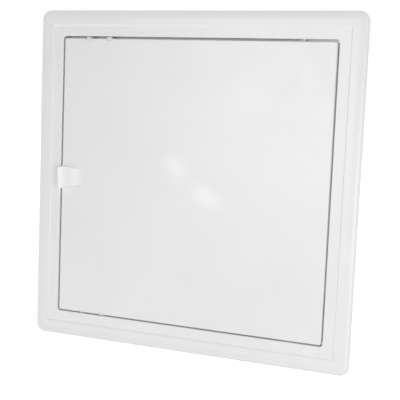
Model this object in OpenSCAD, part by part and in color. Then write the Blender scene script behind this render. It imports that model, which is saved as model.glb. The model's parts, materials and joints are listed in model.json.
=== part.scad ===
// Bath access panel: a moulded picture frame with a flush door that swings on two pins.
// Modules draw the panel lying on its back, front face up, and stand() turns it upright.
// Upright, the wall face is the plane Y = 0, the front looks along -Y and +Z is up.

/* [Wall cut-out] */
// Width and height of the hole in the wall that the panel fills
cutout_size = 300; // [220:5:600]
// Clearance between the collar and each side of the cut-out
collar_gap = 2; // [1:0.5:4]
// How far the flange reaches over the wall past each side of the cut-out
flange_cover = 9; // [8:0.5:20]

/* [Frame] */
// Outside corner radius of the frame
corner_r = 9; // [8:0.5:13]
// Height of the raised outer band over the wall
flange_h = 5.3; // [4.8:0.1:7]
// Angle at which the outer part of the raised band leans outwards
band_lean = 7; // [1:0.5:9]
// Radius of the soft shoulder between the flat and the leaning part
shoulder_r = 10; // [4:1:14]
// Wall thickness of the frame moulding
frame_wall = 2.2; // [1.6:0.1:2.6]
// Width of the curved part of the raised band, along its outer edge
crown_w = 4.8; // [4.2:0.1:5.4]
// Radius of the crown between the leaning part and the rounded lip
crown_r = 10; // [9:1:20]
// Rounding of the outer edge of the frame
lip_r = 3.6; // [2:0.1:3.8]
// Width of the rim that sits on the wall
seat_w = 3; // [2.4:0.1:4]
// Width of the raised outer band
raised_w = 13; // [12.5:0.1:16]
// Height of the step between the two bands
step_h = 1.3; // [0.5:0.1:1.6]
// Radius of the hollow at the foot of the step
step_foot_r = 2.2; // [1.5:0.1:3]
// Radius of the rounded top of the step
step_edge_r = 0.8; // [0.6:0.1:1.2]

/* [Opening] */
// Width of the channel between the opening wall and the collar
channel_w = 9.2; // [7:0.1:16]
// Corner radius of the opening
opening_r = 3; // [2.5:0.5:5]
// Rounding of the visible edge of the opening
opening_edge_r = 0.9; // [0.3:0.1:1.2]
// Depth of the opening wall behind the wall face
opening_depth = 19; // [14:0.5:19.5]
// How far the stop ledge reaches in from the opening wall
ledge_w = 5; // [3:0.5:8]
// Thickness of the stop ledge
ledge_t = 2; // [1.5:0.1:3]

/* [Collar] */
// Outside corner radius of the collar
collar_r = 6; // [4:0.5:10]
// Thickness of the collar wall
collar_t = 2; // [1.5:0.1:3]
// Depth of the collar behind the wall face
collar_depth = 20; // [18:1:40]
// Radius of the fixing screw holes through the collar
screw_r = 2.1; // [1.6:0.1:2.6]
// Distance of the screw holes from the corners of the collar
screw_inset = 48; // [15:1:90]
// Depth of the screw holes behind the wall face
screw_depth = 13; // [12:0.5:15]

/* [Door] */
// Gap all round between the door and the frame
door_gap = 1.5; // [1:0.1:2.5]
// Thickness of the door's front skin
skin_t = 2.2; // [1.8:0.1:3]
// Depth of the door from its front face to the back of its rim
door_depth = 10; // [9:0.5:11]
// Thickness of the door's rim, and its corner radius
rim_t = 2; // [1.6:0.1:2.4]
// Rounding of the door's front edge
door_edge_r = 1.1; // [0.3:0.1:1.2]
// How far the door hangs below the middle of the opening
door_sag = 0.4; // [0:0.1:0.5]
// Clearance between the frame and the strips that close the gap beyond the hinge
strip_gap = 0.4; // [0.3:0.1:0.8]
// Thickness of those strips
strip_t = 2; // [1:0.1:3]
// Height of the stiffening ribs behind the door
rib_h = 3; // [1:0.5:5]
// Thickness of the stiffening ribs
rib_t = 1.6; // [1:0.1:2]
// Clearance between the door's rim and the ledge
ledge_gap = 0.3; // [0.2:0.1:1]

/* [Hinge] */
// Distance from the hinge axis to the right side of the opening
hinge_inset = 32; // [26:1:40]
// Depth of the hinge axis behind the door's front face
hinge_depth = 4.5; // [4.5:0.1:6]
// Radius of the hinge pins
pin_r = 1.5; // [1.2:0.1:2]
// Clearance round the pins in the door
pin_run = 0.05; // [0.02:0.01:0.1]
// Clearance round the pins in the frame
pin_press = 0.02; // [0.01:0.01:0.05]
// Length of pin inside the door
pin_reach = 12; // [8:0.5:16]
// Radius of the pin heads
pin_head_r = 2.6; // [2.2:0.1:2.7]
// Thickness of the pin heads
pin_head_t = 1.2; // [0.8:0.1:1.8]
// Radius of the hinge bosses
boss_r = 4; // [3:0.1:4.4]

/* [Finger pull] */
// Length of the pull from its root to its lip
pull_len = 22.5; // [22:0.5:28]
// How far the lip reaches past the edge of the door
pull_over = 0.6; // [0.4:0.1:4]
// Height of the lip over the door's front face
pull_h = 8.5; // [7:0.1:11]
// Width of the pull at its lip
pull_lip_w = 22; // [18:0.5:26]
// Width of the pull at its root
pull_root_w = 16; // [12:0.5:18]
// Thickness of the pull's shell
pull_t = 1.8; // [1.4:0.1:2.2]
// Thickness of the foot that sits in the door
pull_foot_t = 1; // [0.7:0.1:1.2]
// Plan radius of the lip's corners
pull_corner_r = 2.2; // [1:0.1:4]

/* [Catch clips] */
// Distance from the left side of the opening to the first nose
nose_1_x = 27.3; // [24:0.1:40]
// Distance between the two noses of a clip
nose_pitch = 21.8; // [18:0.1:30]
// Width of the first nose
nose_1_w = 4; // [3:0.1:6]
// Width of the second nose
nose_2_w = 5; // [3:0.1:6]
// Radius of the round nose tips
nose_r = 1.4; // [1:0.1:1.6]
// Depth of the noses behind the door's front face
nose_depth = 1.7; // [1.7:0.1:2]
// Depth of the root that carries each nose, behind the middle of its tip
nose_root = 3.6; // [3:0.1:4]
// Clearance from the nose tips to the frame
nose_gap = 0.3; // [0.2:0.1:0.6]
// Thickness of the clip's leaf
leaf_t = 1.2; // [0.8:0.1:1.6]

/* [Hidden] */
$fn = 48;

// Small overlap that joins shapes of one piece
weld = 0.4;
// How far a cut runs on past the face that it opens
cut = 1;
// Clearance of clipped-in pieces in their pockets
clip_run = 0.1;

// Heights are over the wall face, and negative behind it
face_h = flange_h - step_h;
frame_half = cutout_size / 2 + flange_cover;
collar_half = cutout_size / 2 - collar_gap;
opening_half = collar_half - collar_t - channel_w - frame_wall;
door_half = opening_half - door_gap;
door_inner = door_half - rim_t;
skin_back_h = face_h - skin_t;
door_back_h = face_h - door_depth;
ledge_h = door_back_h - ledge_gap;
opening_back_h = -opening_depth;

// Step: two arcs, the lower one hollow and the upper one round
step_a = acos(1 - step_h / (step_foot_r + step_edge_r));
step_run = (step_foot_r + step_edge_r) * sin(step_a);
step_top = frame_half - raised_w;
step_foot = step_top - step_run;

// Raised band: flat top, shoulder, leaning part, crown and lip meet without a corner
plateau_r = 0.8;
lean_x = plateau_r + shoulder_r * sin(band_lean);
lean_h = flange_h - shoulder_r * (1 - cos(band_lean));
crown_x = corner_r - crown_w - crown_r * sin(band_lean);
crown_h = lean_h - (corner_r - crown_w - lean_x) * tan(band_lean) - crown_r * cos(band_lean);
lip_x = corner_r - lip_r;
lip_a = asin((lip_x - crown_x) / (crown_r - lip_r));
lip_h = crown_h + (crown_r - lip_r) * cos(lip_a);
band_back_h = crown_h + crown_r - frame_wall;
under_a = asin((corner_r - seat_w - crown_x) / (crown_r - frame_wall));

// Hinge
hinge_x = opening_half - hinge_inset;
hinge_h = face_h - hinge_depth;
boss_end = 1.5;
boss_len = pin_reach + boss_end;
hinge_rib_step = 1;
pin_end_gap = door_sag + 0.1;
pin_tip = 0.6;

// The opened door clears the end of the ledge by this much
ledge_end_gap = 1.2;
ledge_end_x = hinge_x - (door_depth - hinge_depth) - ledge_end_gap;
strip_x0 = ledge_end_x + ledge_end_gap;
strip_x1 = opening_half - opening_r - strip_gap;

// Ribs across the back of the door and between the frame's two walls
rib_count = 4;
rib_pitch = 2 * door_inner / (rib_count + 1);
gusset_t = 1.6;
gusset_count = 5;
gusset_pitch = 2 * opening_half / (gusset_count + 1);
gusset_step = 1;
gusset_back_h = ledge_h - gusset_step;

// Pull: its ramp is one arc that leaves the door's face at the root
pull_lip_x = -(door_half + pull_over);
pull_root_x = pull_lip_x + pull_len;
ramp_r = (pull_len * pull_len + pull_h * pull_h) / (2 * pull_h);
ramp_a = asin(pull_len / ramp_r);
pull_foot_h = face_h - pull_foot_t;
prong_l = 4;
prong_t = 1.6;
prong_y = 5;
prong_inset = 10;
prong_x = -door_half + prong_inset;
prong_len = 2.6;
barb_t = 0.5;

// Catch clips
nose_x = [-opening_half + nose_1_x, -opening_half + nose_1_x + nose_pitch];
nose_w = [nose_1_w, nose_2_w];
nose_h = face_h - nose_depth;
nose_y = opening_half - nose_gap - nose_r;
nose_back_h = nose_h - nose_root;
nose_window = 0.3;
leaf_side = 1.5;
leaf_x0 = nose_x[0] - nose_w[0] / 2 - leaf_side;
leaf_x1 = nose_x[1] + nose_w[1] / 2 + leaf_side;
leaf_run = 0.2;
leaf_set_in = 1;
leaf_front_h = skin_back_h - leaf_run;
leaf_back_h = door_back_h + leaf_set_in;
pad_t = 1;
pad_l = 8;
fence_t = 1.2;
pocket_deep = 0.5;
pocket_side = 0.6;
pocket_land = 0.4;
pocket_h = face_h - opening_edge_r - pocket_land;

// Points of an arc, from angle a0 to a1
function arc(cx, cy, r, a0, a1, n) = [
    for (i = [0:n]) let (a = a0 + (a1 - a0) * i / n) [cx + r * cos(a), cy + r * sin(a)]
];

// Turns a piece from lying on its back to standing upright
module stand() {
    rotate([90, 0, 0]) children();
}

// Lowers a piece of the door to where it hangs
module hang() {
    translate([0, -door_sag, 0]) children();
}

// Draws its children for the top side and again, mirrored, for the bottom side
module top_and_bottom() {
    children();
    mirror([0, 1, 0]) children();
}

// Square outline with round corners
module round_square(half, r) {
    square([2 * half, 2 * (half - r)], center = true);
    square([2 * (half - r), 2 * half], center = true);
    for (x = [-1, 1], y = [-1, 1]) translate([x * (half - r), y * (half - r)]) circle(r);
}

// Flat plate between two heights
module plate(half, r, low, high) {
    translate([0, 0, low]) linear_extrude(high - low) round_square(half, r);
}

// Box from one corner to the other
module block(low, high) {
    translate(low) cube(high - low);
}

// Carries a profile once round a square. The profile's x is measured from the corner's centre.
module sweep_round(half, r) {
    run = 2 * (half - r);
    for (a = [0, 90, 180, 270]) rotate([0, 0, a]) {
        translate([half - r, run / 2, 0]) rotate([90, 0, 0]) linear_extrude(run) children();
        translate([half - r, half - r, 0]) rotate_extrude(angle = 90) children();
    }
}

// Section of the crowned band and its rounded lip
module band_section() {
    inner_x = plateau_r - weld;
    polygon(concat(
        [[inner_x, flange_h]],
        arc(plateau_r, flange_h - shoulder_r, shoulder_r, 90, 90 - band_lean, 3),
        arc(crown_x, crown_h, crown_r, 90 - band_lean, 90 - lip_a, 4),
        arc(lip_x, lip_h, lip_r, 90 - lip_a, 0, 8),
        [[corner_r, 0], [corner_r - seat_w, 0]],
        arc(crown_x, crown_h, crown_r - frame_wall, 90 - under_a, 90, 3),
        [[inner_x, band_back_h]]
    ));
}

// Section of the wall round the opening, rounded at its front edge
module opening_section() {
    polygon(concat(
        [[opening_r, opening_back_h]],
        arc(opening_r + opening_edge_r, face_h - opening_edge_r, opening_edge_r, 180, 90, 4),
        [[opening_r + frame_wall, face_h], [opening_r + frame_wall, opening_back_h]]
    ));
}

// Section of the shape that is cut away above the lower band
module recess_section() {
    half = concat(
        arc(step_foot, face_h + step_foot_r, step_foot_r, -90, step_a - 90, 6),
        arc(step_top, flange_h - step_edge_r, step_edge_r, step_a + 90, 90, 5),
        [[step_top, flange_h + cut]]
    );
    polygon(concat(half, [for (i = [len(half) - 1:-1:0]) [-half[i][0], half[i][1]]]));
}

// The recess has mitred corners: it is where two long prisms cross
module recess() {
    intersection_for (a = [0, 90]) {
        rotate([0, 0, a]) translate([0, frame_half, 0]) rotate([90, 0, 0]) {
            linear_extrude(2 * frame_half) recess_section();
        }
    }
}

// Flange with the raised band, the lower band and the rim that sits on the wall
module flange() {
    sweep_round(frame_half, corner_r) band_section();
    difference() {
        plate(frame_half - corner_r + plateau_r, plateau_r, band_back_h, flange_h);
        plate(step_foot - frame_wall, opening_r, 0, flange_h + cut);
        recess();
    }
    difference() {
        plate(step_top, opening_r, face_h - frame_wall, face_h);
        plate(opening_half + opening_edge_r, opening_r + opening_edge_r, 0, face_h + cut);
    }
}

// Ledge that the door's rim closes on. It stops short of the hinge, where the door swings inwards.
module ledge() {
    difference() {
        plate(opening_half + weld, opening_r + weld, ledge_h - ledge_t, ledge_h);
        plate(opening_half - ledge_w, opening_r, ledge_h - ledge_t - cut, ledge_h + cut);
        block(
            [ledge_end_x, -frame_half, ledge_h - ledge_t - cut],
            [frame_half, frame_half, ledge_h + cut]
        );
    }
}

// Webs that tie the opening wall to the collar
module gussets() {
    for (a = [0, 90, 180, 270], i = [1:gusset_count]) rotate([0, 0, a]) {
        translate([-opening_half + i * gusset_pitch - gusset_t / 2, 0, 0]) block(
            [0, opening_half + weld, gusset_back_h],
            [gusset_t, collar_half - weld, face_h - frame_wall + weld]
        );
    }
}

// Round bar along Y
module bar_y(r, y0, y1) {
    translate([hinge_x, y0, hinge_h]) rotate([-90, 0, 0]) cylinder(h = y1 - y0, r = r);
}

// Pockets in the opening wall, behind its front edge, that the noses of the catch clips spring into
module nose_pockets() {
    for (i = [0, 1]) block(
        [nose_x[i] - nose_w[i] / 2 - pocket_side, opening_half - cut, nose_h - nose_r - pocket_side],
        [nose_x[i] + nose_w[i] / 2 + pocket_side, opening_half + pocket_deep, pocket_h]
    );
}

// Holes for the fixing screws, through the left and right sides of the collar
module screw_holes() {
    for (x = [-1, 1], y = [-1, 1]) {
        translate([x * (collar_half - collar_t / 2), y * (collar_half - screw_inset), -screw_depth])
            rotate([0, 90, 0]) cylinder(h = collar_t + 2 * cut, r = screw_r, center = true);
    }
}

module frame() {
    color("whitesmoke") stand() difference() {
        union() {
            flange();
            sweep_round(opening_half, opening_r) opening_section();
            sweep_round(collar_half, collar_r) translate([collar_r - collar_t, -collar_depth])
                square([collar_t, collar_depth + flange_h - frame_wall + weld]);
            ledge();
            gussets();
            top_and_bottom() bar_y(boss_r, opening_half + weld, collar_half - weld);
        }
        top_and_bottom() bar_y(pin_r + pin_press, opening_half - cut, collar_half + cut);
        top_and_bottom() nose_pockets();
        screw_holes();
    }
}

// Section of the door's rim, rounded at the front edge
module rim_section() {
    polygon(concat(
        [[0, door_back_h], [rim_t, door_back_h]],
        arc(rim_t - door_edge_r, face_h - door_edge_r, door_edge_r, 0, 90, 4),
        [[0, face_h]]
    ));
}

// Ribs behind the skin, both ways, and a deeper one along the hinge line
module door_ribs() {
    reach = door_inner + weld;
    for (a = [0, 90], i = [1:rib_count]) rotate([0, 0, a]) {
        translate([-door_inner + i * rib_pitch, 0, 0]) block(
            [-rib_t / 2, -reach, skin_back_h - rib_h],
            [rib_t / 2, reach, skin_back_h + weld]
        );
    }
    block(
        [hinge_x - rib_t / 2, -door_inner + boss_len / 2, hinge_h - boss_r + hinge_rib_step],
        [hinge_x + rib_t / 2, door_inner - boss_len / 2, skin_back_h + weld]
    );
}

// Strips along the back of the rim that close the gap where the frame has no ledge
module edge_strips() {
    for (side = [-1, 1]) {
        reach = opening_half - strip_gap + side * door_sag;
        block(
            [strip_x0, min(side * reach, side * (door_half - weld)), door_back_h],
            [strip_x1, max(side * reach, side * (door_half - weld)), door_back_h + strip_t]
        );
    }
}

// Fence that holds a catch clip against the rim, closed at both ends
module clip_fence() {
    inner_y = door_inner - leaf_t - pad_t;
    difference() {
        block(
            [leaf_x0 - clip_run - fence_t, inner_y - fence_t, leaf_back_h],
            [leaf_x1 + clip_run + fence_t, door_inner + weld, skin_back_h + weld]
        );
        block(
            [leaf_x0 - clip_run, inner_y, leaf_back_h - cut],
            [leaf_x1 + clip_run, door_inner, skin_back_h]
        );
    }
}

// Notches in the front edge of the rim that the noses look out of
module nose_notches() {
    for (i = [0, 1]) block(
        [nose_x[i] - nose_w[i] / 2 - nose_window, door_inner - clip_run, nose_back_h - nose_window],
        [nose_x[i] + nose_w[i] / 2 + nose_window, door_half + cut, face_h + cut]
    );
}

// Plan of the pull, grown by a clearance for its pocket in the door
module pull_plan(grow) {
    lip_y = pull_lip_w / 2 - pull_corner_r;
    root_y = pull_root_w / 2 - pull_corner_r;
    hull() {
        for (y = [-1, 1]) {
            translate([pull_lip_x + pull_corner_r, y * lip_y]) circle(pull_corner_r + grow, $fn = 32);
            translate([pull_root_x - pull_corner_r, y * root_y]) circle(pull_corner_r + grow, $fn = 32);
        }
    }
}

module door_leaf() {
    color("white") stand() hang() difference() {
        union() {
            plate(door_half - door_edge_r, rim_t - door_edge_r, skin_back_h, face_h);
            sweep_round(door_half, rim_t) rim_section();
            door_ribs();
            top_and_bottom() bar_y(boss_r, door_half - boss_len, door_half - weld);
            top_and_bottom() clip_fence();
            edge_strips();
        }
        top_and_bottom() bar_y(pin_r + pin_run, door_half - pin_reach - pin_end_gap, door_half + cut);
        top_and_bottom() nose_notches();
        translate([0, 0, pull_foot_h]) linear_extrude(pull_foot_t + cut) pull_plan(clip_run);
        for (y = [-1, 1]) translate([prong_x, y * prong_y, 0]) block(
            [-prong_l / 2 - clip_run, -prong_t / 2 - clip_run, 0],
            [prong_l / 2 + clip_run, prong_t / 2 + clip_run, face_h]
        );
    }
}

// Side view of the pull: a foot in the door, and a ramp that rises to the lip
module pull_side() {
    polygon(concat(
        [[pull_root_x, pull_foot_h]],
        arc(pull_root_x, face_h + ramp_r, ramp_r, -90, -90 - ramp_a, 14),
        [[pull_lip_x, face_h], [-door_half, face_h], [-door_half, pull_foot_h]]
    ));
}

// Side view of the hollow for the fingertips, open at the lip
module finger_side() {
    inner_r = ramp_r + pull_t;
    start_a = acos(ramp_r / inner_r);
    end_a = asin((pull_len + cut) / inner_r);
    polygon(concat(
        arc(pull_root_x, face_h + ramp_r, inner_r, -90 - start_a, -90 - end_a, 12),
        [[pull_lip_x - cut, face_h - cut], [-door_half, face_h - cut], [-door_half, face_h]]
    ));
}

// Carries a side view across the width of the pull
module pull_prism() {
    translate([0, pull_lip_w / 2, 0]) rotate([90, 0, 0]) linear_extrude(pull_lip_w) children();
}

// Two barbed prongs that snap through the door's skin
module prongs() {
    for (y = [-1, 1]) translate([prong_x, y * prong_y, 0]) {
        block(
            [-prong_l / 2, -prong_t / 2, skin_back_h - prong_len],
            [prong_l / 2, prong_t / 2, pull_foot_h + weld]
        );
        translate([-prong_l / 2, 0, skin_back_h - clip_run]) rotate([90, 0, 90]) {
            linear_extrude(prong_l) polygon([
                [0, 0], [y * (prong_t / 2 + barb_t), 0], [y * (prong_t / 2 + barb_t), -barb_t],
                [y * prong_t / 2, -prong_len + clip_run], [0, -prong_len + clip_run]
            ]);
        }
    }
}

module finger_pull() {
    color("ivory") stand() hang() {
        difference() {
            intersection() {
                pull_prism() pull_side();
                translate([0, 0, pull_foot_h]) linear_extrude(pull_h + pull_foot_t + cut) pull_plan(0);
            }
            intersection() {
                pull_prism() finger_side();
                translate([0, 0, face_h - cut]) linear_extrude(pull_h + cut) difference() {
                    translate([-pull_t, 0]) pull_plan(-pull_t);
                    translate([pull_root_x, -pull_lip_w]) square(2 * pull_lip_w);
                }
            }
        }
        prongs();
    }
}

// Side view of a nose: its root stands on the leaf, and its round tip lies in the gap
module nose_side(tip_y) {
    polygon(concat(
        [
            [door_inner - weld, nose_back_h], [door_inner - weld, leaf_front_h],
            [door_inner, leaf_front_h], [door_inner, nose_h + nose_r]
        ],
        arc(tip_y, nose_h, nose_r, 90, -90, 12),
        [[min(tip_y, door_half), nose_back_h]]
    ));
}

// Sprung leaf with two noses that reach through the rim into the gap
module catch_clip(tip_y) {
    block([leaf_x0, door_inner - leaf_t, leaf_back_h], [leaf_x1, door_inner, leaf_front_h]);
    mid = (leaf_x0 + leaf_x1) / 2;
    block(
        [mid - pad_l / 2, door_inner - leaf_t - pad_t, leaf_back_h],
        [mid + pad_l / 2, door_inner - leaf_t + weld, leaf_front_h]
    );
    for (i = [0, 1]) translate([nose_x[i] - nose_w[i] / 2, 0, 0]) {
        rotate([90, 0, 90]) linear_extrude(nose_w[i]) nose_side(tip_y);
    }
}

module catch_clip_upper() {
    color("gainsboro") stand() hang() catch_clip(nose_y + door_sag);
}

module catch_clip_lower() {
    color("gainsboro") stand() hang() mirror([0, 1, 0]) catch_clip(nose_y - door_sag);
}

// Headed pin, pushed in from outside the collar
module hinge_pin() {
    end_y = door_half - pin_reach;
    bar_y(pin_r, end_y + pin_tip, collar_half + weld);
    translate([hinge_x, end_y, hinge_h]) rotate([-90, 0, 0]) {
        cylinder(h = pin_tip, r1 = pin_r - pin_tip, r2 = pin_r);
    }
    bar_y(pin_head_r, collar_half, collar_half + pin_head_t);
}

module hinge_pin_upper() {
    color("silver") stand() hinge_pin();
}

module hinge_pin_lower() {
    color("silver") stand() mirror([0, 1, 0]) hinge_pin();
}

frame();
door_leaf();
finger_pull();
catch_clip_upper();
catch_clip_lower();
hinge_pin_upper();
hinge_pin_lower();
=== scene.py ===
"""Bath access panel: the finishes of its moulded pieces, with a pale floor, soft light and a camera."""

import json
import math

import bmesh
import bpy
import numpy as np
from mathutils import Matrix, Vector

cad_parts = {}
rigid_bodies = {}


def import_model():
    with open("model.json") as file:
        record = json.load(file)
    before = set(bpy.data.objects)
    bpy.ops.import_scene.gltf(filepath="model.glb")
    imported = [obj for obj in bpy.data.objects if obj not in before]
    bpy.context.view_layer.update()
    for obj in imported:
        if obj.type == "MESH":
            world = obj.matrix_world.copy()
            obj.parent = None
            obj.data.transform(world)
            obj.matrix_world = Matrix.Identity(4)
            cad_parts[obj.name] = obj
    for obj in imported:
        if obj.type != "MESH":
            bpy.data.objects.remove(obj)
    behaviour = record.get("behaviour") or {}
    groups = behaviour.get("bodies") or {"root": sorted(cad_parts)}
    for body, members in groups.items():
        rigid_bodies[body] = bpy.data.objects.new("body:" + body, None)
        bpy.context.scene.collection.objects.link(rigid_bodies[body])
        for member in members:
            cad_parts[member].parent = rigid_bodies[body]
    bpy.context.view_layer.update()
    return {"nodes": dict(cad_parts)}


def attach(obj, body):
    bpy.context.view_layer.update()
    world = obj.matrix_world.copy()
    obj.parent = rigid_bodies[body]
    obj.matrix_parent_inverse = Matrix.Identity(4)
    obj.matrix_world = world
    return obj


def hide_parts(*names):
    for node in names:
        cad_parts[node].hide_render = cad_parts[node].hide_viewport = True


for left_over in list(bpy.data.objects):
    bpy.data.objects.remove(left_over)
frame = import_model()
MM = 0.001

# The photograph's view: angles in degrees, focal length and sensor in millimetres
CAMERA_AZIMUTH = 21.28
CAMERA_ELEVATION = 6.40
CAMERA_ROLL = 2.35
CAMERA_DISTANCE = 0.8163
CAMERA_AIM = Vector((0.0113, 0, -0.0133))
CAMERA_REACH = 100
LENS = 79.4
SENSOR = 36

# The studio. Soft light from the world, as a level along each axis
WORLD_LIGHT = {
    (1, 0, 0): 0.20,
    (-1, 0, 0): 0.20,
    (0, 1, 0): 0.65,
    (0, -1, 0): 0.10,
    (0, 0, 1): 0.20,
    (0, 0, -1): 0.20,
}
# A ring of light round the panel and a little behind it, for its edges: level, place along Y and reach
RING_LIGHT = 1.35
RING_BACK = 0.1
RING_REACH = 0.35
# Soft boxes: place in metres, side in metres, power in watts
LAMPS = {
    "front": (Vector((-0.269, -1.267, 0.113)), 0.5, 4.4),
    "low_left": (Vector((-0.589, -1.020, -0.549)), 0.5, 1.6),
    "low_side": (Vector((-1.020, -0.589, -0.549)), 0.5, 0.8),
    "near_right": (Vector((0.55, -0.55, -0.1)), 0.3, 1.7),
}
# The floor: height and half its side in metres, its colour under the lamps, and its glow where it is
# looked at
FLOOR_Z = -0.6
FLOOR_HALF = 12
FLOOR_SHADE = (0.6, 0.6, 0.6, 1)
FLOOR_GLOW = 0.75

# The plastics: colour, roughness, and grain in cells per metre
PANEL_PLASTIC = ((0.84, 0.84, 0.84, 1), 0.36, 900)
PULL_PLASTIC = ((0.865, 0.865, 0.865, 1), 0.36, 900)
CLIP_PLASTIC = ((0.80, 0.80, 0.79, 1), 0.5, 1500)
PIN_PLASTIC = ((0.74, 0.74, 0.73, 1), 0.42, 1500)
# The pull's colour is painted paler towards its lip: a painted highlight where its ramp faces the light
LIP_HIGHLIGHT_WHITE = (0.88, 0.88, 0.88, 1)
REFRACTION = 1.5
# Clouds in the colour: cells per metre, octaves, and the darkest and palest share of the colour
CLOUD_CELLS = 14
CLOUD_OCTAVES = 3
CLOUD_SHARES = (0.985, 1.01)
# Uneven gloss: cells per metre, octaves, and how far the roughness goes either way
GLOSS_CELLS = 60
GLOSS_OCTAVES = 4
GLOSS_SPREAD = 0.04
# The skin's grain: octaves, strength and depth
GRAIN_OCTAVES = 2
GRAIN_STRENGTH = 0.25
GRAIN_DEPTH = 0.02 * MM
# Between these two values lies most of a noise
NOISE_RANGE = (0.3, 0.7)
# Small edges look rounded by this radius
EDGE_RADIUS = 0.3 * MM
EDGE_SAMPLES = 4

# Two painted reflections, soft pale patches on the door's front: middle, lean, half sizes in metres, and
# strength
REFLECTION_WHITE = (0.92, 0.92, 0.92, 1)
PAINTED_REFLECTIONS = (
    ((-0.013, -0.004, 0.014), math.radians(70), (0.024, 0.0018, 0.016), 0.75),
    ((0.019, -0.004, -0.010), math.radians(25), (0.024, 0.0018, 0.0135), 0.95),
)
# Their uneven outline: how far it wanders, cells per metre, and octaves
REFLECTION_WARP = (0.014, 0, 0.014)
REFLECTION_CELLS = 55
REFLECTION_OCTAVES = 2

# Faces that meet at less than the first angle are shaded as one, and at less than the second are flat
SHARP = math.radians(35)
FLAT = math.radians(1)
# Corners that agree to a micrometre are one
WELD = 0.001 * MM
MICRONS = 1e6

# The finger pull as it was packed: the door's face in front of the panel's origin, the ends of the ramp,
# the middle, half its height, and how deep its foot lies in the door
FACE = 4 * MM
PULL_ROOT_X = -111.2 * MM
PULL_LIP_X = -133.7 * MM
PULL_MIDDLE_Z = -0.4 * MM
PULL_HALF = 8 * MM
FOOT_DEPTH = 1 * MM
# Its rounded edges, which start this far in front of the door
PULL_EDGE = 0.8 * MM
EDGE_STEPS = 3
EDGE_PROFILE = 0.5
EDGE_CLEAR = 0.5 * MM
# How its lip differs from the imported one: it hangs lower, more so at the top, it is shorter, and it slants
PULL_DROOP = 0.9 * MM
PULL_TAPER = 0.5 * MM
PULL_SHORT = 0.6 * MM
PULL_SLANT = 0.7 * MM
# The foot stands proud of the door by a ledge, and covers the gap round it, at its root over a short way.
# Two cuts near the ledge keep the ramp's sides upright above it
PULL_LEDGE = 0.03 * MM
PULL_CUTS = (PULL_LEDGE, 2 * PULL_LEDGE)
POCKET_COVER = 0.5 * MM
COVER_REACH = 4 * MM
NEAR = 0.01 * MM


def camera_matrix():
    """Where the camera stands: its axes are right, up and back."""
    az, el, roll = (math.radians(a) for a in (CAMERA_AZIMUTH, CAMERA_ELEVATION, CAMERA_ROLL))
    back = Vector((math.sin(az) * math.cos(el), -math.cos(az) * math.cos(el), math.sin(el)))
    level = Vector((math.cos(az), math.sin(az), 0))
    upright = back.cross(level)
    right = math.cos(roll) * level + math.sin(roll) * upright
    up = math.cos(roll) * upright - math.sin(roll) * level
    turn = Matrix((right, up, back)).transposed().to_4x4()
    return Matrix.Translation(CAMERA_AIM + back * CAMERA_DISTANCE) @ turn


def add_camera():
    """The camera, which the scene looks through."""
    data = bpy.data.cameras.new("camera")
    data.lens = LENS
    data.sensor_width = SENSOR
    data.clip_end = CAMERA_REACH
    camera = bpy.data.objects.new("camera", data)
    camera.matrix_world = camera_matrix()
    bpy.context.scene.collection.objects.link(camera)
    bpy.context.scene.camera = camera


def new_material(name):
    """An empty material, with its nodes, its links and its output."""
    material = bpy.data.materials.new(name)
    material.use_nodes = True
    nodes = material.node_tree.nodes
    nodes.clear()
    return material, nodes, material.node_tree.links, nodes.new("ShaderNodeOutputMaterial")


def calculate(nodes, links, operation, value, other):
    """One sum with a value that comes from another node, and a number or a second such value."""
    step = nodes.new("ShaderNodeMath")
    step.operation = operation
    links.new(value, step.inputs[0])
    if isinstance(other, (int, float)):
        step.inputs[1].default_value = other
    else:
        links.new(other, step.inputs[1])
    return step.outputs[0]


def spread(nodes, links, value, source, target, kind="LINEAR"):
    """Carries a value from one range over to another, and holds it at the ends."""
    step = nodes.new("ShaderNodeMapRange")
    step.interpolation_type = kind
    for name, number in zip(("From Min", "From Max", "To Min", "To Max"), (*source, *target)):
        step.inputs[name].default_value = number
    links.new(value, step.inputs["Value"])
    return step.outputs["Result"]


def noise(nodes, links, place, cells, octaves):
    """Soft noise in the object's own coordinates, in cells per metre."""
    field = nodes.new("ShaderNodeTexNoise")
    field.inputs["Scale"].default_value = cells
    field.inputs["Detail"].default_value = octaves
    links.new(place, field.inputs["Vector"])
    return field.outputs


def seen_ray(nodes, links):
    """1 for camera, glossy and transmission rays, 0 for the rays that carry light."""
    rays = nodes.new("ShaderNodeLightPath").outputs
    both = calculate(nodes, links, "MAXIMUM", rays["Is Camera Ray"], rays["Is Glossy Ray"])
    return calculate(nodes, links, "MAXIMUM", both, rays["Is Transmission Ray"])


def world_level(nodes, links):
    """The ring's level, and with it the levels along the axes, which each fade to nothing at the side."""
    along = nodes.new("ShaderNodeTexCoord").outputs["Generated"]
    split = nodes.new("ShaderNodeSeparateXYZ")
    links.new(along, split.inputs[0])
    off = calculate(nodes, links, "SUBTRACT", split.outputs["Y"], RING_BACK)
    square = calculate(nodes, links, "MULTIPLY", off, off)
    fall = calculate(nodes, links, "MULTIPLY", square, -RING_LIGHT / RING_REACH ** 2)
    ring = calculate(nodes, links, "ADD", fall, RING_LIGHT)
    total = calculate(nodes, links, "MAXIMUM", ring, 0)
    for axis, level in WORLD_LIGHT.items():
        dot = nodes.new("ShaderNodeVectorMath")
        dot.operation = "DOT_PRODUCT"
        dot.inputs[1].default_value = [level * a for a in axis]
        links.new(along, dot.inputs[0])
        lobe = calculate(nodes, links, "MAXIMUM", dot.outputs["Value"], 0)
        total = calculate(nodes, links, "ADD", total, lobe)
    return total


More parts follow.
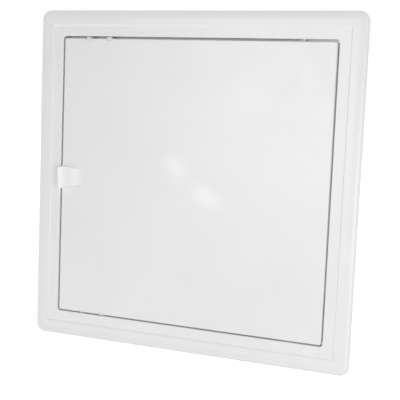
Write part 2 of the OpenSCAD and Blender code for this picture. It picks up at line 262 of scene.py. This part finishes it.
def add_world():
    """Soft light that is strongest from behind, and white where it is looked at."""
    world = bpy.data.worlds.new("studio")
    bpy.context.scene.world = world
    world.use_nodes = True
    nodes, links = world.node_tree.nodes, world.node_tree.links
    nodes.clear()
    light = nodes.new("ShaderNodeBackground")
    links.new(world_level(nodes, links), light.inputs["Strength"])
    white = nodes.new("ShaderNodeBackground")
    white.inputs["Strength"].default_value = 1
    for background in (light, white):
        background.inputs["Color"].default_value = (1, 1, 1, 1)
    mix = nodes.new("ShaderNodeMixShader")
    links.new(seen_ray(nodes, links), mix.inputs[0])
    links.new(light.outputs[0], mix.inputs[1])
    links.new(white.outputs[0], mix.inputs[2])
    links.new(mix.outputs[0], nodes.new("ShaderNodeOutputWorld").inputs["Surface"])


def add_floor():
    """A plain white floor, far below the panel."""
    mesh = bpy.data.meshes.new("floor")
    sides = ((-1, -1), (1, -1), (1, 1), (-1, 1))
    corners = [(x * FLOOR_HALF, y * FLOOR_HALF, FLOOR_Z) for x, y in sides]
    mesh.from_pydata(corners, [], [(0, 1, 2, 3)])
    floor = bpy.data.objects.new("floor", mesh)
    bpy.context.scene.collection.objects.link(floor)
    material, nodes, links, output = new_material("floor_white")
    paint = nodes.new("ShaderNodeBsdfDiffuse")
    paint.inputs["Color"].default_value = FLOOR_SHADE
    glow = nodes.new("ShaderNodeEmission")
    level = calculate(nodes, links, "MULTIPLY", seen_ray(nodes, links), FLOOR_GLOW)
    links.new(level, glow.inputs["Strength"])
    both = nodes.new("ShaderNodeAddShader")
    links.new(paint.outputs[0], both.inputs[0])
    links.new(glow.outputs[0], both.inputs[1])
    links.new(both.outputs[0], output.inputs["Surface"])
    mesh.materials.append(material)


def add_lamp(name, place, size, power):
    """A square soft box that faces the middle of the panel."""
    data = bpy.data.lights.new(name, "AREA")
    data.size = size
    data.energy = power
    lamp = bpy.data.objects.new(name, data)
    lamp.location = place
    lamp.rotation_mode = "QUATERNION"
    lamp.rotation_quaternion = (-place).to_track_quat("-Z", "Y")
    bpy.context.scene.collection.objects.link(lamp)


def painted_reflection(nodes, links, place, middle, lean, halves, strength):
    """Where a soft, uneven painted reflection lies on the door's front."""
    warp = nodes.new("ShaderNodeVectorMath")
    warp.operation = "MULTIPLY_ADD"
    warp.inputs[1].default_value = REFLECTION_WARP
    cells = noise(nodes, links, place, REFLECTION_CELLS, REFLECTION_OCTAVES)
    links.new(cells["Color"], warp.inputs[0])
    links.new(place, warp.inputs[2])
    turned = nodes.new("ShaderNodeMapping")
    turned.vector_type = "TEXTURE"
    turned.inputs["Location"].default_value = Vector(middle) + Vector(REFLECTION_WARP) / 2
    turned.inputs["Rotation"].default_value = (0, lean, 0)
    turned.inputs["Scale"].default_value = halves
    links.new(warp.outputs[0], turned.inputs["Vector"])
    far = nodes.new("ShaderNodeVectorMath")
    far.operation = "LENGTH"
    links.new(turned.outputs[0], far.inputs[0])
    return spread(nodes, links, far.outputs["Value"], (0, 1), (strength, 0), "SMOOTHSTEP")


def painted_lip_highlight(nodes, links, place):
    """Where the painted highlight on the pull lies: 1 at its lip, fading to 0 at its root."""
    split = nodes.new("ShaderNodeSeparateXYZ")
    links.new(place, split.inputs[0])
    ends = (PULL_LIP_X, PULL_ROOT_X)
    return spread(nodes, links, split.outputs["X"], ends, (1, 0), "SMOOTHSTEP")


def mix_colour(nodes, links, factor, under, over):
    """A colour over another, as far as the factor says. The one under it may come from a node."""
    mix = nodes.new("ShaderNodeMix")
    mix.data_type = "RGBA"
    links.new(factor, mix.inputs["Factor"])
    if isinstance(under, bpy.types.NodeSocket):
        links.new(under, mix.inputs["A"])
    else:
        mix.inputs["A"].default_value = under
    mix.inputs["B"].default_value = over
    return mix.outputs["Result"]


def plastic(name, finish, layers=()):
    """Moulded plastic: faint cloudy colour, uneven gloss, a fine skin and softly rounded edges. Each layer
    is a function that says where it lies, the rest of what that function needs, and a colour."""
    colour, rough, grain = finish
    material, nodes, links, output = new_material(name)
    skin = nodes.new("ShaderNodeBsdfPrincipled")
    skin.inputs["IOR"].default_value = REFRACTION
    place = nodes.new("ShaderNodeTexCoord").outputs["Object"]

    clouds = noise(nodes, links, place, CLOUD_CELLS, CLOUD_OCTAVES)["Fac"]
    dark, pale = ([min(1, c * share) for c in colour[:3]] + [1] for share in CLOUD_SHARES)
    shade = mix_colour(nodes, links, spread(nodes, links, clouds, NOISE_RANGE, (0, 1)), dark, pale)
    for where, rest, paint in layers:
        shade = mix_colour(nodes, links, where(nodes, links, place, *rest), shade, paint)
    links.new(shade, skin.inputs["Base Color"])

    patches = noise(nodes, links, place, GLOSS_CELLS, GLOSS_OCTAVES)["Fac"]
    between = (rough - GLOSS_SPREAD, rough + GLOSS_SPREAD)
    links.new(spread(nodes, links, patches, NOISE_RANGE, between), skin.inputs["Roughness"])

    edge = nodes.new("ShaderNodeBevel")
    edge.samples = EDGE_SAMPLES
    edge.inputs["Radius"].default_value = EDGE_RADIUS
    bump = nodes.new("ShaderNodeBump")
    bump.inputs["Strength"].default_value = GRAIN_STRENGTH
    bump.inputs["Distance"].default_value = GRAIN_DEPTH
    links.new(noise(nodes, links, place, grain, GRAIN_OCTAVES)["Fac"], bump.inputs["Height"])
    links.new(edge.outputs["Normal"], bump.inputs["Normal"])
    links.new(bump.outputs["Normal"], skin.inputs["Normal"])
    links.new(skin.outputs["BSDF"], output.inputs["Surface"])
    return material


def soft_normals(mesh):
    """Shades curved faces smooth and leaves flat faces flat: each corner's normal is the mean of the faces
    round it that meet at less than the sharp angle, weighted by their areas."""
    count = len(mesh.polygons)
    normals = np.zeros(count * 3, np.float32)
    mesh.polygons.foreach_get("normal", normals)
    normals = normals.reshape(-1, 3)
    areas = np.zeros(count, np.float32)
    mesh.polygons.foreach_get("area", areas)
    places = np.zeros(len(mesh.vertices) * 3, np.float32)
    mesh.vertices.foreach_get("co", places)
    keys = np.round(places.reshape(-1, 3) * MICRONS).astype(np.int64)
    _, same = np.unique(keys, axis=0, return_inverse=True)
    same = same.reshape(-1)
    around = {}
    for face in mesh.polygons:
        for v in face.vertices:
            around.setdefault(same[v], []).append(face.index)
    limit = math.cos(SHARP)
    corners = np.zeros((len(mesh.loops), 3), np.float32)
    for face in mesh.polygons:
        for i in face.loop_indices:
            near = np.array(around[same[mesh.loops[i].vertex_index]])
            near = near[normals[near] @ normals[face.index] > limit]
            total = (normals[near] * areas[near, None]).sum(0)
            corners[i] = total / np.linalg.norm(total)
    mesh.polygons.foreach_set("use_smooth", [True] * count)
    mesh.normals_split_custom_set(corners)


def reshape_pull(v):
    """Moves one corner of the pull: beyond the two cuts it goes with the lip, and behind them with the foot."""
    side = max(-1, min(1, (v.co.z - PULL_MIDDLE_Z) / PULL_HALF))
    rise = -v.co.y - FACE
    if rise > sum(PULL_CUTS) / 2:
        out = (PULL_ROOT_X - v.co.x) / (PULL_ROOT_X - PULL_LIP_X)
        v.co.z -= out * (PULL_DROOP + PULL_TAPER * (side + 1) / 2)
        v.co.x += out * (PULL_SHORT + out * PULL_SLANT * (1 - side) / 2)
    elif rise > -FOOT_DEPTH - NEAR:
        v.co.z += POCKET_COVER * side
        v.co.x += POCKET_COVER * max(0, 1 - (PULL_ROOT_X - v.co.x) / COVER_REACH)
        if rise > -NEAR:
            v.co.y -= PULL_LEDGE - rise


def round_pull():
    """The finger pull with rounded edges, a lip that droops a little, and a foot that fills its pocket."""
    shape = bmesh.new()
    shape.from_mesh(frame["nodes"]["finger_pull"].data)
    bmesh.ops.remove_doubles(shape, verts=shape.verts, dist=WELD)
    bmesh.ops.dissolve_limit(shape, angle_limit=FLAT, verts=shape.verts, edges=shape.edges)
    sharp = [
        edge
        for edge in shape.edges
        if edge.calc_face_angle(0) > SHARP and all(-v.co.y > FACE + EDGE_CLEAR for v in edge.verts)
    ]
    bmesh.ops.bevel(
        shape,
        geom=sharp,
        offset=PULL_EDGE,
        segments=EDGE_STEPS,
        profile=EDGE_PROFILE,
        affect="EDGES",
        clamp_overlap=True,
    )
    for height in PULL_CUTS:
        whole = shape.verts[:] + shape.edges[:] + shape.faces[:]
        plane = (0, -FACE - height, 0)
        bmesh.ops.bisect_plane(shape, geom=whole, plane_co=plane, plane_no=(0, 1, 0))
    for v in shape.verts:
        reshape_pull(v)
    mesh = bpy.data.meshes.new("finger_pull_round")
    shape.to_mesh(mesh)
    shape.free()
    soft_normals(mesh)
    pull = bpy.data.objects.new("finger_pull_round", mesh)
    bpy.context.scene.collection.objects.link(pull)
    # The pull's colour gets paler towards its lip, a painted highlight.
    mesh.materials.append(plastic("pull_plastic", PULL_PLASTIC, [(painted_lip_highlight, (), LIP_HIGHLIGHT_WHITE)]))
    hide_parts("finger_pull")
    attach(pull, "door")


def finish_nodes():
    """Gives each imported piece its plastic."""
    shell = plastic("panel_plastic", PANEL_PLASTIC)
    # The door's plastic carries two soft pale patches of painted reflection.
    door = plastic("door_plastic", PANEL_PLASTIC, [(painted_reflection, each, REFLECTION_WHITE) for each in PAINTED_REFLECTIONS])
    clip = plastic("clip_plastic_soft", CLIP_PLASTIC)
    pin = plastic("pin_plastic_soft", PIN_PLASTIC)
    finishes = {
        "frame": shell,
        "door_leaf": door,
        "finger_pull": shell,
        "catch_clip_upper": clip,
        "catch_clip_lower": clip,
        "hinge_pin_upper": pin,
        "hinge_pin_lower": pin,
    }
    for name, material in finishes.items():
        mesh = frame["nodes"][name].data
        mesh.materials.clear()
        mesh.materials.append(material)
        soft_normals(mesh)


add_camera()
add_world()
add_floor()
for name, (place, size, power) in LAMPS.items():
    add_lamp(name, place, size, power)
finish_nodes()
round_pull()
bpy.context.scene.view_settings.view_transform = "Standard"
